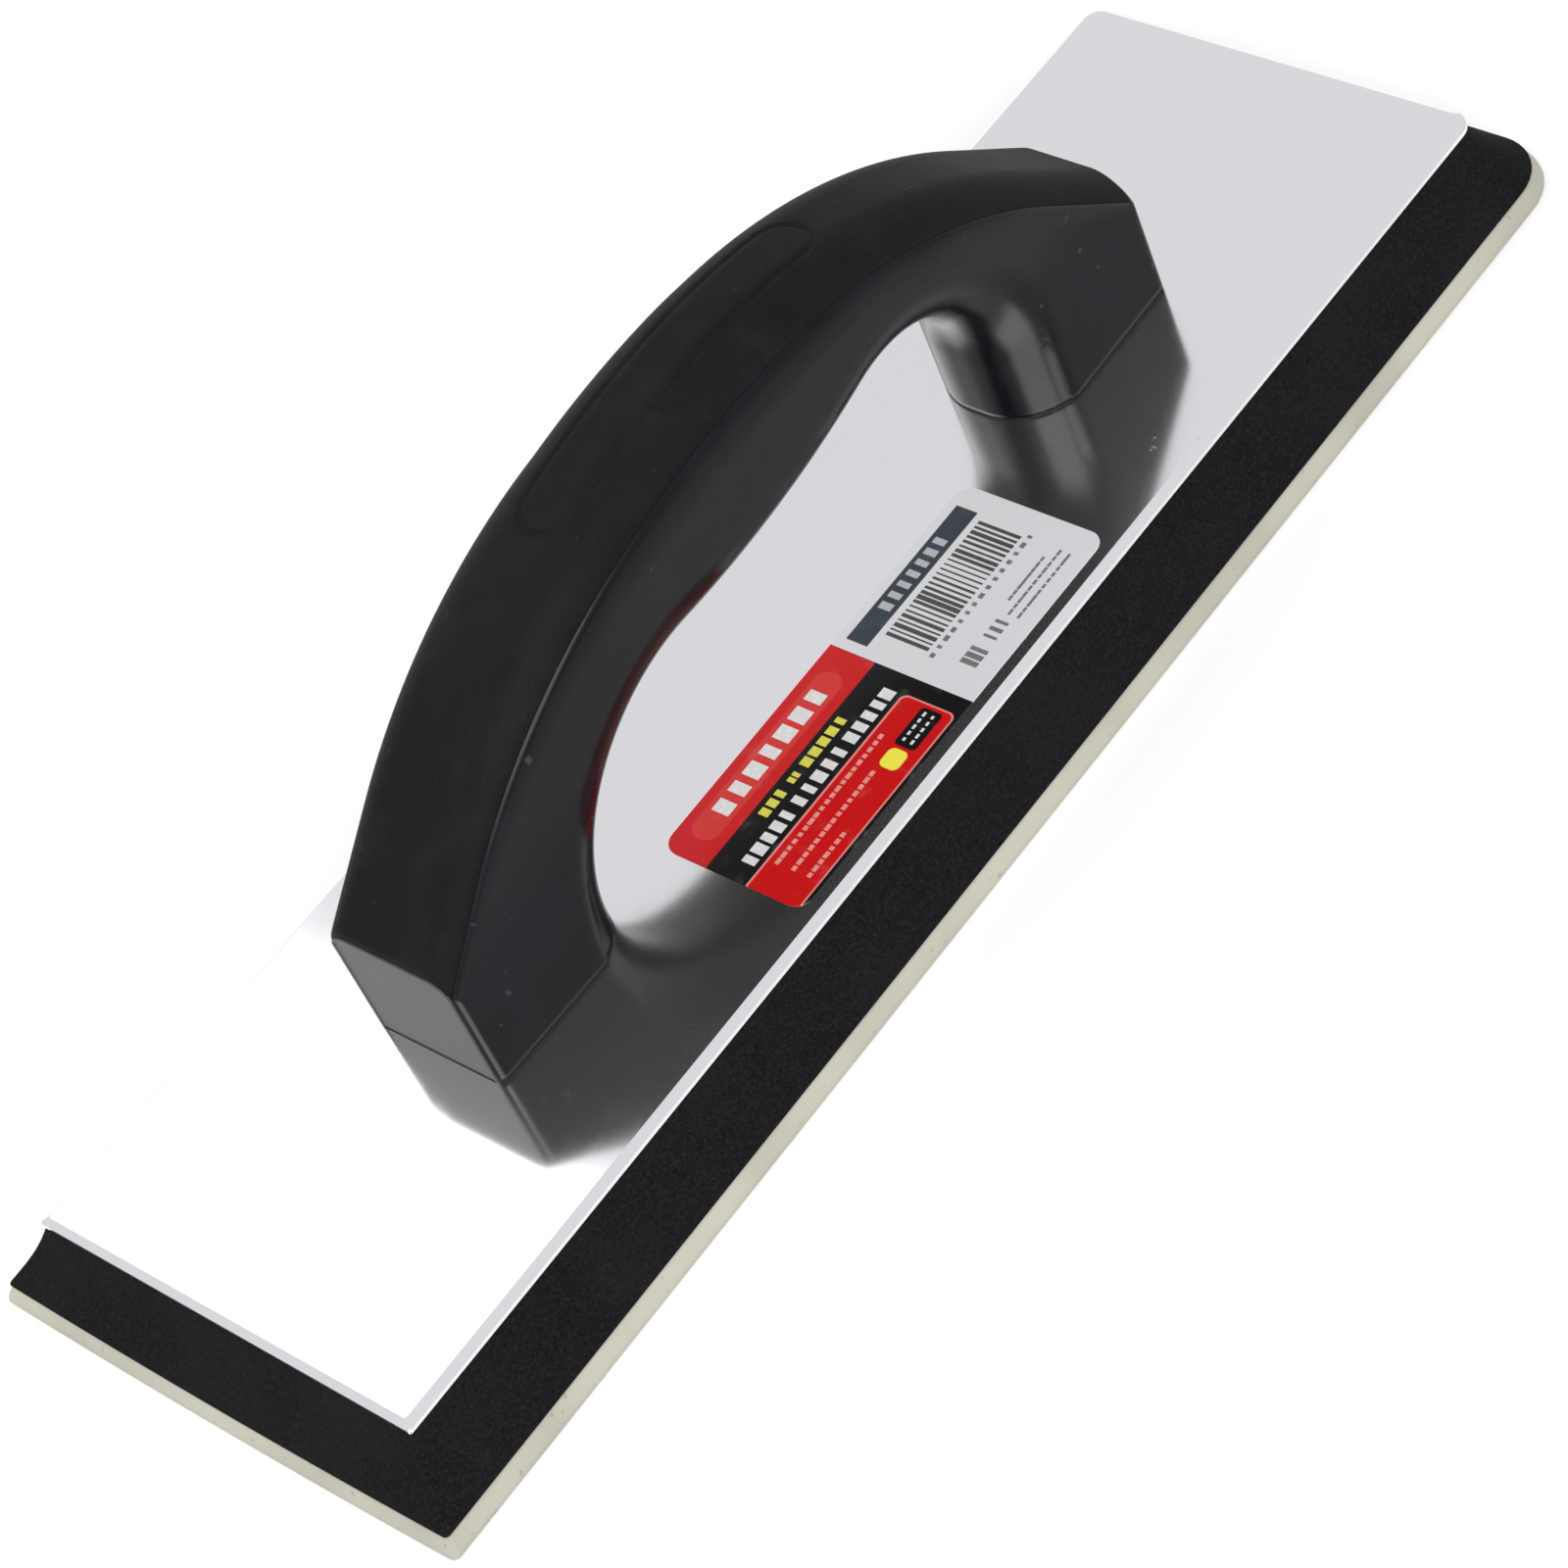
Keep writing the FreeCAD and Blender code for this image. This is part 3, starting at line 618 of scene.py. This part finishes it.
def surfaceAt(at, drop, length, reach, across):
    # points at the given lengths along a half section, sunk below its surface by drop
    nudge = 0.05 * mm
    alongReach = np.interp(at + nudge, length, reach) - np.interp(at - nudge, length, reach)
    alongAcross = np.interp(at + nudge, length, across) - np.interp(at - nudge, length, across)
    size = np.maximum(np.hypot(alongReach, alongAcross), 1e-9)
    return (np.interp(at, length, reach) + alongAcross / size * drop,
            np.interp(at, length, across) - alongReach / size * drop)


def trackDrop(shape, x, y):
    # depth of the oval line pressed into the top
    along = np.maximum(np.abs(x - shape["trackMiddle"]) - shape["trackHalf"] + shape["trackWide"], 0)
    off = np.abs(np.hypot(along, y) - shape["trackWide"]) / shape["trackLine"]
    return shape["trackDeep"] * np.exp(-off ** 2)


def grooveDrop(shape, distance):
    # depth of the soft groove along the parting line
    share = np.clip(1 - distance / shape["grooveWide"], 0, 1)
    return shape["grooveDeep"] * share ** 2


def handleParts(shape):
    # the body and its cover as two stacks of loops that meet along the parting line
    turns = handleTurns(0.3)
    outer = RayTable(archOutline(shape, 0.0, shape["shoulder"]), turns, -1)
    parting = RayTable(archOutline(shape, shape["coverDepth"], shape["parting"]), turns, -1)
    inner = RayTable(openingOutline(shape), turns, 1)
    coreLoops, coverLoops = [], []
    edge = np.array([2.2, 1.5, 1.0, 0.75, 0.5, 0.3, 0.15, 0.0]) * mm
    for column, turn in enumerate(turns):
        reach, across, knee = sectionHalf(shape, outer, inner, column, turn)
        length = np.concatenate([[0], np.cumsum(np.hypot(np.diff(reach), np.diff(across)))])
        line = parting.reach(column, np.zeros(1))[0]
        covered = line < reach[-1] - shape["coverLeast"]
        tail = reach[knee:]
        if covered:
            rising = np.maximum.accumulate(tail)
            spot = np.interp(line, rising, length[knee:]) if line > tail[0] else \
                length[knee] - (tail[0] - line)
        else:
            spot = np.interp(shape["endRound"] - across[knee], -across[knee:], length[knee:])
        coreAt = np.concatenate([np.linspace(0, 1, 38)[:-1] * (spot - edge[0]), spot - edge])
        coverAt = np.concatenate([spot + edge[::-1], spot + edge[0] + (length[-1] - spot - edge[0])
                                  * np.linspace(0, 1, 44)[1:]])
        section = (length, reach, across)
        if covered:
            r, y = surfaceAt(coreAt, grooveDrop(shape, spot - coreAt), *section)
            r, y = np.append(r, np.full(4, r[-1])), np.append(y, y[-1] * np.array([0.75, 0.5, 0.25, 0.0]))
        else:
            shelfY = np.interp(spot, length, across) * np.array([0.75, 0.5, 0.25])
            shelfAt = np.interp(-shelfY, -across[knee:], length[knee:])
            soft = shape["footSoft"] if column in (0, len(turns) - 1) else 0.0
            r, y = surfaceAt(np.concatenate([coreAt, shelfAt, length[-1:]]), soft, *section)
        coreLoops.append(closeLoop(turn, r, y))
        if covered:
            r, y = surfaceAt(coverAt, grooveDrop(shape, coverAt - spot), *section)
            r = r - trackDrop(shape, r * math.cos(turn), y) * (coverAt > spot + edge[0])
            shelfY = y[0] * np.array([0.0, 0.33, 0.66])
            coverLoops.append(closeLoop(turn, np.append(np.full(3, r[0]), r), np.append(shelfY, y)))
    return coreLoops, coverLoops


def closeLoop(turn, reach, across):
    # the half section and its mirror image as one loop in the half plane
    loopReach = np.concatenate([reach, reach[-2:0:-1]])
    loopAcross = np.concatenate([across, -across[-2:0:-1]])
    return np.column_stack([loopReach * math.cos(turn), -loopAcross, plateTop + loopReach * math.sin(turn)])


coreLoops, coverLoops = handleParts(handleShape)
points, faces = stackLoops(coreLoops)
handleCore = addPiece("handleCore", points, faces, glossyCore(), ["handle_body"], sharp=65.0)
points, faces = stackLoops(coverLoops)
gripShell = addPiece("gripShell", points, faces, softGrip(), ["grip_cover"], sharp=38.0)
print("handle made", len(handleCore.data.polygons), len(gripShell.data.polygons))


# arched panels let into the two ends

def panelLoop(shape, handle, draw, side, x):
    # upright sides and an arched top that follows the shoulder
    limit = handle["reach"][1] if side > 0 else handle["reach"][0]
    wide = halfWidth(handle, limit * side)
    bend = handle["shoulderRound"][(side + 1) // 2]
    half = wide - shape["side"] - draw
    across = np.concatenate([np.linspace(half, wide - bend, 24), np.linspace(wide - bend, 0, 8)[1:]])
    turned = np.clip((across - (wide - bend)) / bend, 0, 1)
    sag = bend * (1 - np.sqrt(1 - turned ** 2)) / math.cos(math.radians(handle["endSlope"]))
    top = handle["shoulder"][(side + 1) // 2] - shape["top"] - draw - sag
    rising = [(half, z) for z in np.linspace(0, top[0], 12)[:-1]]
    right = rising + list(zip(across, top))
    left = [(-y, z) for y, z in right[-2::-1]]
    foot = [(y, 0.0) for y in np.linspace(-half, half, 16)[1:-1]]
    return np.array([(x, y, plateTop + z) for y, z in right + left + foot])


def panelSkin(shape, handle, side):
    face = handle["reach"][1] if side > 0 else handle["reach"][0]
    steps = [(0.0, shape["sunk"]), (0.0, 0.10 * mm), (0.06 * mm, 0.02 * mm), (0.14 * mm, 0.0),
             (shape["rim"], 0.0), (shape["rim"] + 0.1 * mm, 0.12 * mm),
             (shape["rim"] + 0.25 * mm, 0.14 * mm), (shape["rim"] + 0.5 * mm, 0.14 * mm)]
    loops = [panelLoop(shape, handle, draw, side, side * (face - back)) for draw, back in steps]
    points, faces = stackLoops(loops)
    if side < 0:
        faces = [f[::-1] for f in faces]
    return points, faces


def endPanels(shape, handle):
    points, faces = panelSkin(shape, handle, 1)
    morePoints, moreFaces = panelSkin(shape, handle, -1)
    faces = faces + [tuple(i + len(points) for i in f) for f in moreFaces]
    return np.concatenate([points, morePoints]), faces


points, faces = endPanels(panelShape, handleShape)
endPanelPair = addPiece("endPanelPair", points, faces, satinPanel(), [], sharp=30.0)
print("end panels made")


# screws under the plate keep their CAD shape

frame["nodes"]["handle_screws"].data.materials.clear()
frame["nodes"]["handle_screws"].data.materials.append(zincSteel())


# printed label

labelShape = {"corner": 3.0 * mm, "thick": 0.15 * mm, "inkLift": 0.012 * mm}
printShape = {
    "split": 3.5 * mm,                     # black to the left of this line, white to the right
    "blur": 0.10 * mm,
    "redBand": (-44, 3.5, -17.0, -5),      # x0, x1, y0, y1 in mm, then the corner's radius
    "panelEdge": (-44.0, 0.3, -36.3, -25.3, 1.4),
    "redPanel": (-44.0, 0.0, -36.0, -25.7, 1.2),
    "blackTile": (-8.6, -0.6, -34.3, -30.0, 0.8),
    "roseOval": (-37.5, -1.0, -14.9, -9.4, 2.6),
    "yellowDot": (-13.2, -9.2, -34.0, -30.2, 1.2),
    "slateBar": (5.6, 36.2, -13.6, -9.2),
}


def roundedLoop(lowX, highX, lowY, highY, bend, height):
    loop = []
    for x, y, first in ((highX - bend, lowY + bend, -90), (highX - bend, highY - bend, 0),
                        (lowX + bend, highY - bend, 90), (lowX + bend, lowY + bend, 180)):
        for step in range(9):
            angle = math.radians(first + 90 * step / 8)
            loop.append((x + bend * math.cos(angle), y + bend * math.sin(angle), height))
    return np.array(loop)


def labelLoops(shape):
    low, high = labelLow, labelHigh
    loops = []
    for draw, lift in ((0.0, 0.0), (0.0, shape["thick"] - 0.04 * mm), (0.05 * mm, shape["thick"])):
        loops.append(roundedLoop(low.x + draw, high.x - draw, low.y + draw, high.y - draw,
                                 shape["corner"] - draw, labelLow.z + lift))
    return loops


def printedFilm(shape):
    ink = {"red": (0.500, 0.006, 0.008), "deepRed": (0.50, 0.003, 0.004), "black": (0.003, 0.003, 0.004),
           "white": (0.60, 0.60, 0.615), "yellow": (0.74, 0.70, 0.06), "slate": (0.028, 0.040, 0.050),
           "pink": (0.70, 0.22, 0.20), "rose": (0.54, 0.030, 0.026), "grey": (0.40, 0.41, 0.43)}
    layers = [("redBand", "red"), ("panelEdge", "pink"), ("redPanel", "deepRed"), ("blackTile", "black"),
              ("roseOval", "rose"), ("yellowDot", "yellow"), ("slateBar", "slate")]
    finish = Finish("printedFilm", {"IOR": 1.5, "Specular IOR Level": 0.22, "Coat Roughness": 0.12})
    where = finish.place()
    x, y, _ = finish.axes(where)
    soft = shape["blur"]

    def box(x0, x1, y0, y1, bend=0.0):  # 1 inside a box with rounded corners
        middleX, middleY = (x0 + x1) / 2 * mm, (y0 + y1) / 2 * mm
        halfX, halfY = (x1 - x0) / 2 * mm, (y1 - y0) / 2 * mm
        overX = (x - middleX).size() - (halfX - bend * mm)
        overY = (y - middleY).size() - (halfY - bend * mm)
        if not bend:
            return 1.0 - overX.most(overY).fade(-soft, soft)
        far = finish.node("ShaderNodeCombineXYZ", None, {0: overX.most(0.0), 1: overY.most(0.0)})
        reach = finish.node("ShaderNodeVectorMath", {"operation": "LENGTH"}, {0: far}, output="Value")
        return 1.0 - reach.fade(bend * mm - soft, bend * mm + soft)

    colour = finish.mix(x.fade(shape["split"], shape["split"] + soft), ink["black"], ink["white"])
    for area, tint in layers:
        colour = finish.mix(box(*shape[area]), colour, ink[tint])
    wear = finish.noise(where, 260.0, 3.0, 0.6)
    colour = finish.mix(wear.fade(0.55, 0.85) * 0.10, colour, ink["grey"])
    finish.feed("Base Color", colour)
    finish.feed("Roughness", 0.30 + wear * 0.12)
    finish.feed("Coat Weight", 0.04 + wear * 0.08)
    finish.feed("Normal", finish.bump(finish.noise(where, 120.0, 2.0), 0.06, 0.0002))
    return finish.material


points, faces = stackLoops(labelLoops(labelShape))
labelFilm = addPiece("labelFilm", points, faces, printedFilm(printShape), ["product_label"],
                     sharp=30.0)
print("label film made")


# printed bars and lines, repeated by a node tree

def inkFinish(name, colour):
    finish = Finish(name, {"IOR": 1.5})
    where = finish.place()
    patchy = finish.noise(where, 1500.0, 2.0)
    pale = tuple(min(c * 1.5 + 0.05, 1.0) for c in colour)
    finish.feed("Base Color", finish.mix(patchy.fade(0.45, 0.9) * 0.5, colour, pale))
    finish.feed("Roughness", 0.34 + patchy * 0.12)
    return finish.material


class Tree:
    # a geometry node tree with named inputs
    def __init__(self, name, inputs):
        self.tree = bpy.data.node_groups.new(name, "GeometryNodeTree")
        self.ids = {}
        for label, kind, value in inputs:
            socket = self.tree.interface.new_socket(label, in_out="INPUT", socket_type=kind)
            socket.default_value = value
            self.ids[label] = socket.identifier
        self.tree.interface.new_socket("Geometry", in_out="OUTPUT", socket_type="NodeSocketGeometry")
        self.source = self.tree.nodes.new("NodeGroupInput")
        self.end = self.tree.nodes.new("NodeGroupOutput")

    def given(self, label):
        return self.source.outputs[label]

    def node(self, kind, settings=None, values=None, output=0):
        made = self.tree.nodes.new(kind)
        for name, value in (settings or {}).items():
            setattr(made, name, value)
        for key, value in (values or {}).items():
            if isinstance(value, bpy.types.NodeSocket):
                self.tree.links.new(value, made.inputs[key])
            else:
                made.inputs[key].default_value = value
        return made.outputs[output]


def printedRun():
    # a row of thin blocks whose widths and gaps are uneven: the bars of a stock code, or words in a line
    tree = Tree("printedRun", [("Count", "NodeSocketInt", 20), ("Length", "NodeSocketFloat", 0.03),
                               ("Thinnest", "NodeSocketFloat", 0.0003), ("Widest", "NodeSocketFloat", 0.001),
                               ("Tall", "NodeSocketFloat", 0.01), ("Thick", "NodeSocketFloat", 0.00003),
                               ("Start", "NodeSocketVector", (0.0, 0.0, 0.0)), ("Seed", "NodeSocketInt", 1),
                               ("Ink", "NodeSocketMaterial", None)])
    end = tree.node("ShaderNodeCombineXYZ", None, {0: tree.given("Length")})
    row = tree.node("GeometryNodeMeshLine", {"mode": "END_POINTS"},
                    {"Count": tree.given("Count"), "Start Location": tree.given("Start"),
                     "Offset": tree.node("ShaderNodeVectorMath", {"operation": "ADD"},
                                         {0: tree.given("Start"), 1: end})})
    wide = tree.node("FunctionNodeRandomValue", {"data_type": "FLOAT"},
                     {2: tree.given("Thinnest"), 3: tree.given("Widest"), "Seed": tree.given("Seed")},
                     output=1)
    size = tree.node("ShaderNodeCombineXYZ", None, {0: wide, 1: tree.given("Tall"), 2: tree.given("Thick")})
    block = tree.node("GeometryNodeMeshCube")
    placed = tree.node("GeometryNodeInstanceOnPoints", None,
                       {"Points": row, "Instance": block, "Scale": size})
    solid = tree.node("GeometryNodeRealizeInstances", None, {0: placed})
    inked = tree.node("GeometryNodeSetMaterial", None, {"Geometry": solid, "Material": tree.given("Ink")})
    tree.tree.links.new(inked, tree.end.inputs[0])
    return tree


def addRuns(name, tree, rows, finish):
    # runs the tree once for each row and gathers the blocks in one mesh
    points, faces = [], []
    for row in rows:
        holder = bpy.data.objects.new(name + "Row", bpy.data.meshes.new(name + "Row"))
        bpy.context.scene.collection.objects.link(holder)
        modifier = holder.modifiers.new("run", "NODES")
        modifier.node_group = tree.tree
        for label, value in {**row, "Ink": finish}.items():
            modifier[tree.ids[label]] = value
        graph = bpy.context.evaluated_depsgraph_get()
        made = bpy.data.meshes.new_from_object(holder.evaluated_get(graph))
        base = len(points)
        points += [tuple(v.co) for v in made.vertices]
        faces += [tuple(base + i for i in p.vertices) for p in made.polygons]
        bpy.data.objects.remove(holder)
    return addPiece(name, points, faces, finish, [], sharp=30.0)


runTree = printedRun()
inkHeight = labelLow.z + labelShape["thick"] + labelShape["inkLift"]


def rowOf(x0, x1, y, tall, count, thin, wide, seed):
    return {"Count": count, "Length": (x1 - x0) * mm, "Thinnest": thin * mm, "Widest": wide * mm,
            "Tall": tall * mm, "Thick": 0.04 * mm, "Start": (x0 * mm, y * mm, inkHeight), "Seed": seed}


# piece: ink, its colour, then each row's x0, x1, y and height in mm, count, thinnest, widest and seed
printRows = {
    "labelBars": ("barInk", (0.050, 0.048, 0.050), [
        (9.3, 34.6, -19.3, 8.8, 25, 0.22, 0.95, 4)]),
    "labelPrint": ("greyInk", (0.14, 0.14, 0.145), [
        (8.6, 35.4, -25.0, 0.9, 15, 0.6, 1.2, 9),
        (23.6, 32.4, -29.8, 0.5, 8, 0.9, 1.25, 11),
        (21.2, 34.6, -31.6, 0.5, 11, 0.9, 1.4, 12),
        (21.2, 34.4, -33.5, 0.5, 11, 0.9, 1.4, 13),
        (9.9, 12.6, -31.6, 3.4, 3, 0.5, 1.1, 14),
        (15.6, 18.8, -31.6, 2.6, 3, 0.5, 0.9, 15)]),
    "labelCode": ("codeInk", (0.36, 0.38, 0.40), [
        (13.8, 28.6, -11.35, 2.5, 7, 1.1, 1.9, 31)]),
    "labelWords": ("paleInk", (0.66, 0.24, 0.21), [
        (-35.4, -8.4, -27.3, 0.8, 20, 0.7, 1.4, 21),
        (-35.4, -15.0, -30.6, 0.8, 15, 0.7, 1.4, 22),
        (-35.4, -26.8, -33.8, 0.8, 7, 0.7, 1.4, 23)]),
    "labelTitle": ("whiteInk", (0.62, 0.60, 0.60), [
        (-30.6, -6.4, -12.15, 3.5, 7, 2.0, 3.0, 41),
        (-37.2, -27.6, -22.9, 2.7, 5, 1.2, 2.1, 42),
        (-24.4, -13.8, -22.9, 2.7, 5, 1.2, 2.1, 43),
        (-10.6, -1.0, -22.9, 2.7, 5, 1.2, 2.1, 44),
        (-7.2, -1.8, -31.2, 0.5, 5, 0.6, 1.0, 24),
        (-7.2, -1.8, -32.9, 0.5, 5, 0.6, 1.0, 25)]),
    "labelSize": ("yellowInk", (0.58, 0.55, 0.06), [
        (-28.6, -24.6, -19.1, 2.0, 3, 1.1, 1.7, 51),
        (-21.6, -20.4, -19.1, 1.5, 2, 0.8, 1.2, 52),
        (-17.6, -8.6, -19.1, 2.0, 5, 1.1, 1.8, 53)]),
}
for pieceName, (inkName, colour, rows) in printRows.items():
    addRuns(pieceName, runTree, [rowOf(*row) for row in rows], inkFinish(inkName, colour))
print("label print made")


# floor and light

# each light: its place, the point it faces, its width and its power
studio = {
    "floorHalf": 6.0,
    "floorShade": (0.88, 0.88, 0.88),
    "sky": (0.985, 0.98, 1.0),
    "skyPower": 0.78,
    "keyLight": ((-0.55, -0.75, 1.15), (0.0, 0.0, 0.03), 0.9, 14.0),
    "backLight": ((-0.10, 0.68, 0.80), (-0.06, 0.0, 0.03), 0.62, 1.9),
}


def addFloor(half, shade):
    mesh = bpy.data.meshes.new("floor")
    corners = [(-half, -half, 0), (half, -half, 0), (half, half, 0), (-half, half, 0)]
    mesh.from_pydata(corners, [], [(0, 1, 2, 3)])
    finish = Finish("paleFloor", {"Base Color": shade, "Roughness": 0.9, "Specular IOR Level": 0.1})
    mesh.materials.append(finish.material)
    floor = bpy.data.objects.new("floor", mesh)
    bpy.context.scene.collection.objects.link(floor)


def addSoftbox(name, place, target, width, power):
    data = bpy.data.lights.new(name, "AREA")
    data.shape = "SQUARE"
    data.size = width
    data.energy = power
    light = bpy.data.objects.new(name, data)
    light.location = place
    light.rotation_mode = "QUATERNION"
    light.rotation_quaternion = (Vector(target) - Vector(place)).to_track_quat("-Z", "Y")
    bpy.context.scene.collection.objects.link(light)


def addSky(shade, power):
    world = bpy.data.worlds.new("studioSky")
    world.use_nodes = True
    background = world.node_tree.nodes["Background"]
    background.inputs["Color"].default_value = (*shade, 1.0)
    background.inputs["Strength"].default_value = power
    bpy.context.scene.world = world


addFloor(studio["floorHalf"], studio["floorShade"])
addSky(studio["sky"], studio["skyPower"])
for lightName in ("keyLight", "backLight"):
    addSoftbox(lightName, *studio[lightName])
bpy.context.scene.view_settings.view_transform = "Standard"
print("stage and light ready")
